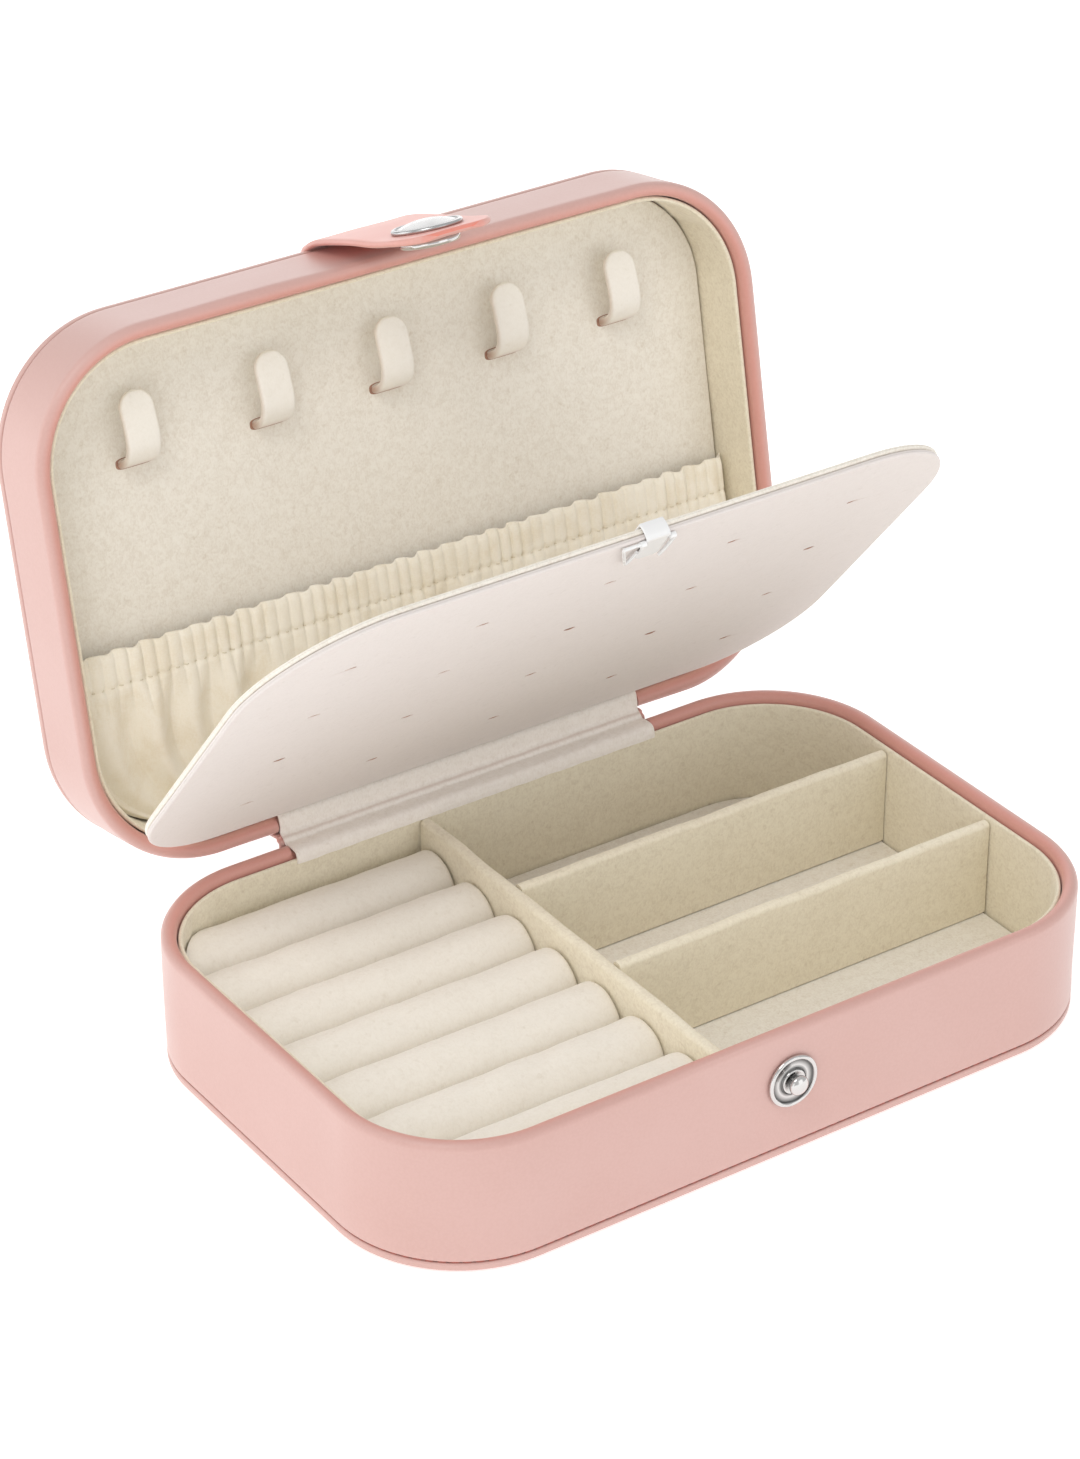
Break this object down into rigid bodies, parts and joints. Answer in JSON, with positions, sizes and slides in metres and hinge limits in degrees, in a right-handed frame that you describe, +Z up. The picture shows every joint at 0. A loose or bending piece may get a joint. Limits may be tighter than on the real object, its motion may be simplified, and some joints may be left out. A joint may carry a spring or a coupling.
{
  "type": "jewelry box",
  "caption": "Two-layer travel jewellery box with a leather-covered base and hinged lid, a hinged earring board, ring rolls, dividers, necklace hooks, an elastic pocket and a snap strap.",
  "frame": {"origin": "centre of the underside of the base", "axes": "+X to the right, +Y to the back where the hinge is, +Z up, seen from the snap side with the lid open"},
  "size_m": [0.165, 0.1517, 0.1476],
  "materials": {
    "pink_leather": "smooth grained artificial leather",
    "cream_velvet": "short-napped cream velvet",
    "pale_velvet": "short-napped pale velvet",
    "elastic": "woven elastic",
    "greyboard": "pressed paper board",
    "chrome": "polished plated steel",
    "white_clip": "glossy white"
  },
  "bodies": {
    "base": {"base_wall_board": "greyboard", "base_wall_leather": "pink_leather", "base_bottom_board": "greyboard", "base_bottom_leather": "pink_leather", "base_liner": "cream_velvet", "base_floor_pad": "cream_velvet", "long_divider": "cream_velvet", "cross_divider_back": "cream_velvet", "cross_divider_front": "cream_velvet", "ring_roll_1": "cream_velvet", "ring_roll_2": "cream_velvet", "ring_roll_3": "cream_velvet", "ring_roll_4": "cream_velvet", "ring_roll_5": "cream_velvet", "ring_roll_6": "cream_velvet", "ring_roll_7": "cream_velvet", "snap_stud": "chrome", "snap_stud_washer": "chrome", "hinge_leather_lower": "pink_leather", "hinge_velvet_lower": "cream_velvet"},
    "lid": {"lid_wall_board": "greyboard", "lid_wall_leather": "pink_leather", "lid_top_board": "greyboard", "lid_top_leather": "pink_leather", "lid_liner": "cream_velvet", "lid_pad": "cream_velvet", "necklace_hook_1": "cream_velvet", "necklace_hook_2": "cream_velvet", "necklace_hook_3": "cream_velvet", "necklace_hook_4": "cream_velvet", "necklace_hook_5": "cream_velvet", "elastic_pocket": "cream_velvet", "pocket_elastic": "elastic", "hinge_leather_upper": "pink_leather", "hinge_velvet_upper": "cream_velvet", "board_hinge_tab": "cream_velvet", "strap_anchor": "pink_leather"},
    "board": {"board_front_card": "pale_velvet", "board_back_card": "cream_velvet", "edge_clip_plate": "white_clip", "edge_clip_bail_left": "white_clip", "edge_clip_bail_right": "white_clip"},
    "strap": {"closure_strap": "pink_leather", "snap_cap": "chrome", "snap_socket": "chrome"}
  },
  "joints": [
    {"name": "lid_hinge", "type": "hinge", "parent": "base", "child": "lid", "pos_m": [0, 0.05485, 0.0283], "axis": [1, 0, 0], "range_deg": [0, 101]},
    {"name": "board_hinge", "type": "hinge", "parent": "lid", "child": "board", "pos_m": [0, 0.05585, 0.03447], "axis": [1, 0, 0], "range_deg": [-50.5, 0]},
    {"name": "strap_flex", "type": "hinge", "parent": "lid", "child": "strap", "pos_m": [0, 0.09286, 0.13211], "axis": [-1, 0, 0], "range_deg": [-2.4, 80]}
  ],
  "couplings": [
    {"joint": "board_hinge", "follows": "lid_hinge", "ratio": -0.5}
  ]
}
